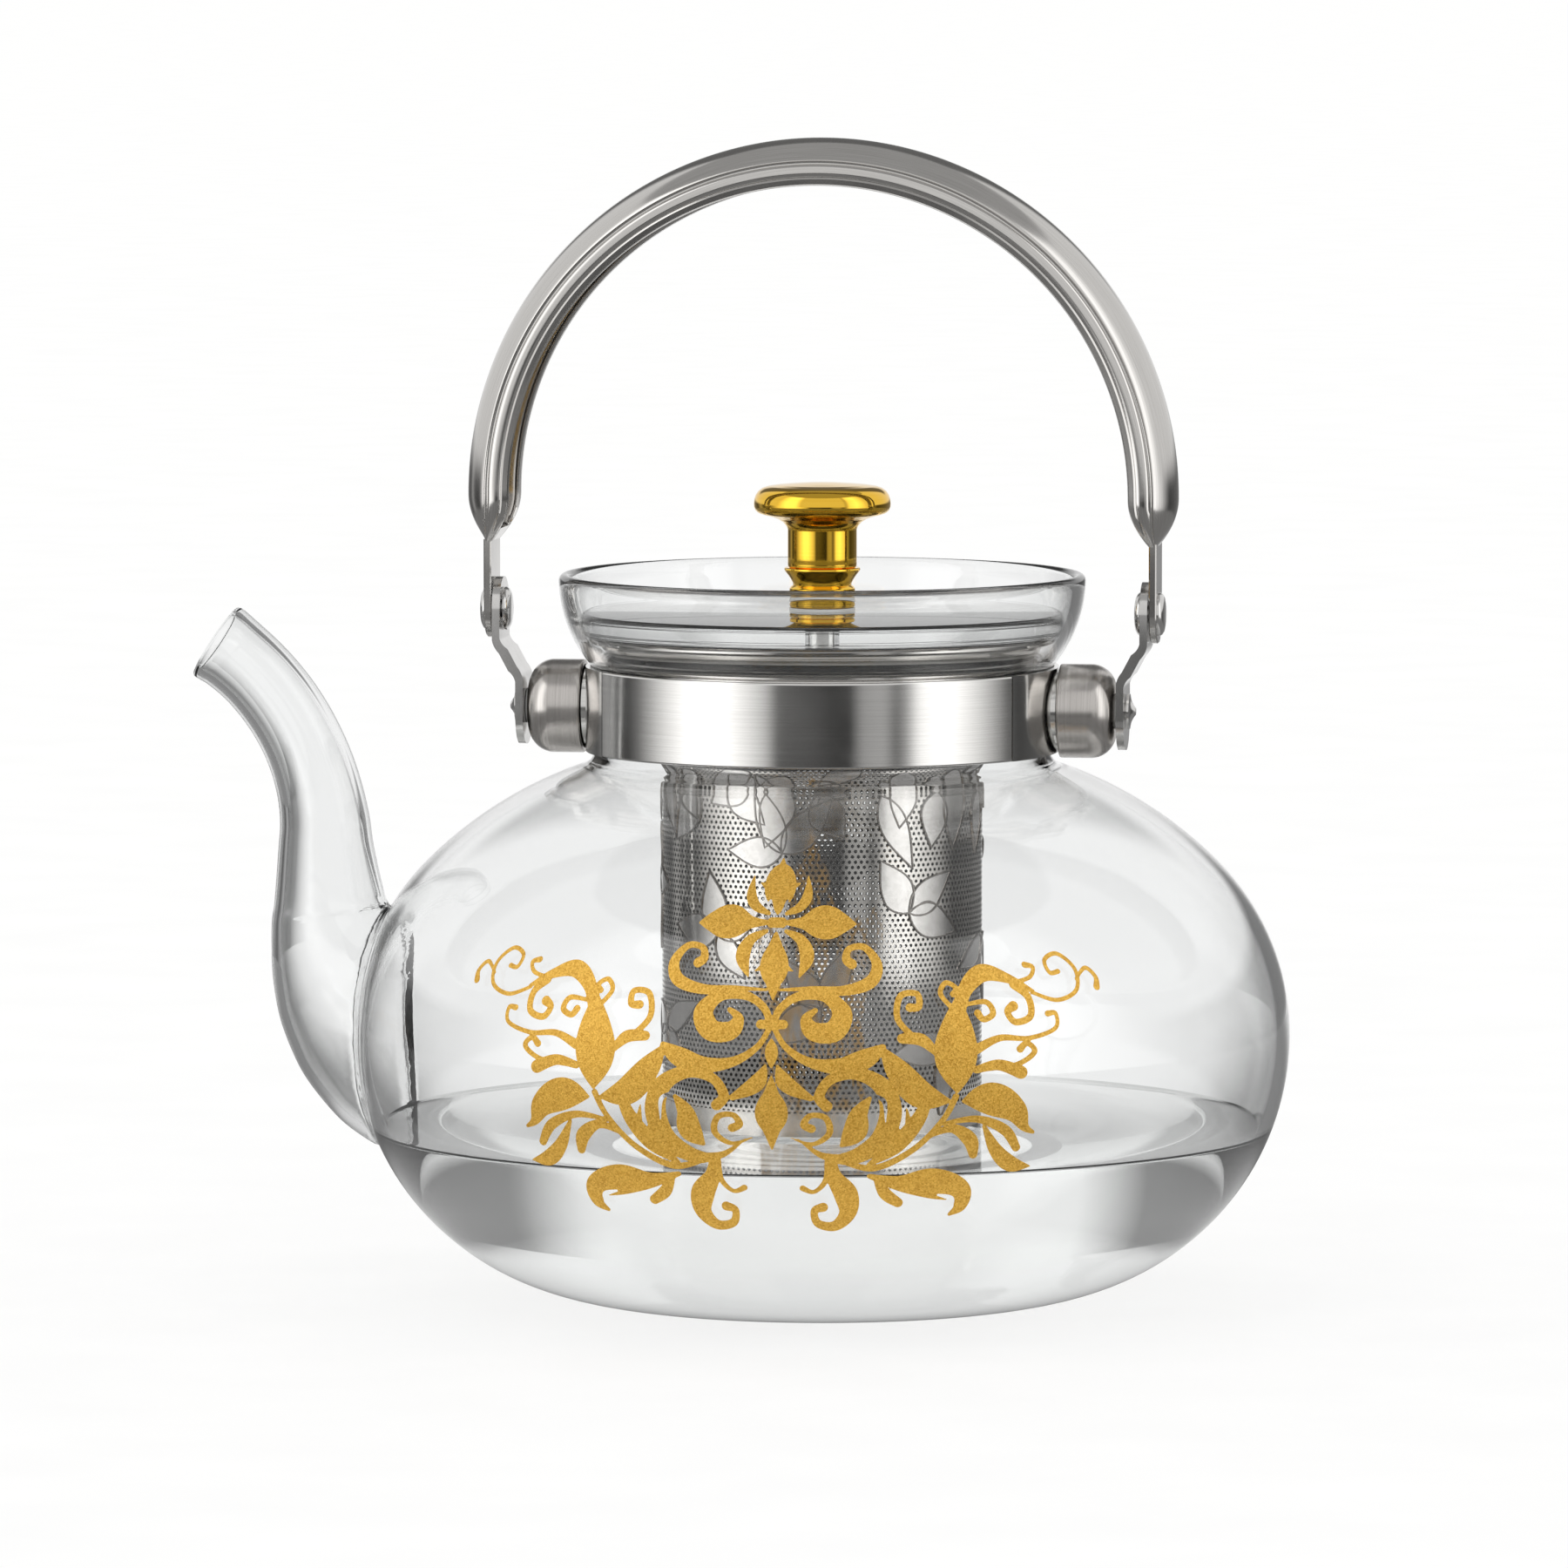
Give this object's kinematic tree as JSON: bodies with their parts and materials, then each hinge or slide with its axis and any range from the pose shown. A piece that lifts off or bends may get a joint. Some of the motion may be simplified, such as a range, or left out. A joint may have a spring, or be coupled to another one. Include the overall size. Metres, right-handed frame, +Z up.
{
  "type": "teapot infuser",
  "caption": "Squat glass teapot with a steel neck band, folding bail handle, lift-out perforated infuser basket and knobbed glass lid.",
  "frame": {"origin": "middle of the flat base, on the surface the pot stands on", "axes": "+Z up along the pot's axis, -X towards the spout, -Y the front, so +X runs along the bracket pivots away from the spout"},
  "size_m": [0.1889, 0.16, 0.198],
  "materials": {
    "clear_glass": "clear borosilicate, fire polished",
    "band_steel": "stainless steel, very fine brushing round the neck",
    "satin_steel": "stainless steel, satin",
    "polished_steel": "stainless steel, polished",
    "basket_steel": "etched and pressed stainless sheet",
    "gold_plate": "gold plate, mirror bright",
    "clear_silicone": "clear silicone",
    "nylon": "natural nylon"
  },
  "bodies": {
    "pot": {"glass_bowl": "clear_glass", "spout": "clear_glass", "band_liner": "clear_silicone", "neck_band_front": "band_steel", "neck_band_rear": "band_steel", "ear_saddle_left": "satin_steel", "ear_saddle_right": "satin_steel", "pivot_stud_left": "polished_steel", "pivot_stud_right": "polished_steel", "boss_cap_left": "satin_steel", "boss_cap_right": "satin_steel", "pivot_washer_left": "nylon", "pivot_washer_right": "nylon", "end_screw_left": "polished_steel", "end_screw_right": "polished_steel"},
    "brackets": {"bracket_left": "polished_steel", "bracket_right": "polished_steel"},
    "bail": {"handle_bail": "polished_steel", "hinge_rivet_left": "polished_steel", "hinge_rivet_right": "polished_steel"},
    "infuser": {"infuser_collar": "basket_steel", "infuser_tube": "basket_steel", "infuser_base": "basket_steel"},
    "lid": {"lid_glass": "clear_glass", "lid_washer_lower": "clear_silicone", "lid_washer_upper": "clear_silicone", "knob_foot": "gold_plate", "knob": "gold_plate", "knob_screw": "polished_steel"}
  },
  "joints": [
    {"name": "bracket_swing", "type": "hinge", "parent": "pot", "child": "brackets", "pos_m": [0, 0, 0.1007], "axis": [1, 0, 0], "range_deg": [-70, 70]},
    {"name": "bail_fold", "type": "hinge", "parent": "brackets", "child": "bail", "pos_m": [0, 0, 0.1173], "axis": [1, 0, 0], "range_deg": [-45, 45]},
    {"name": "infuser_lift", "type": "slide", "parent": "pot", "child": "infuser", "axis": [0, 0, 1], "range_m": [0, 0.022]},
    {"name": "lid_lift", "type": "slide", "parent": "infuser", "child": "lid", "axis": [0, 0, 1], "range_m": [0, 0.025]}
  ]
}
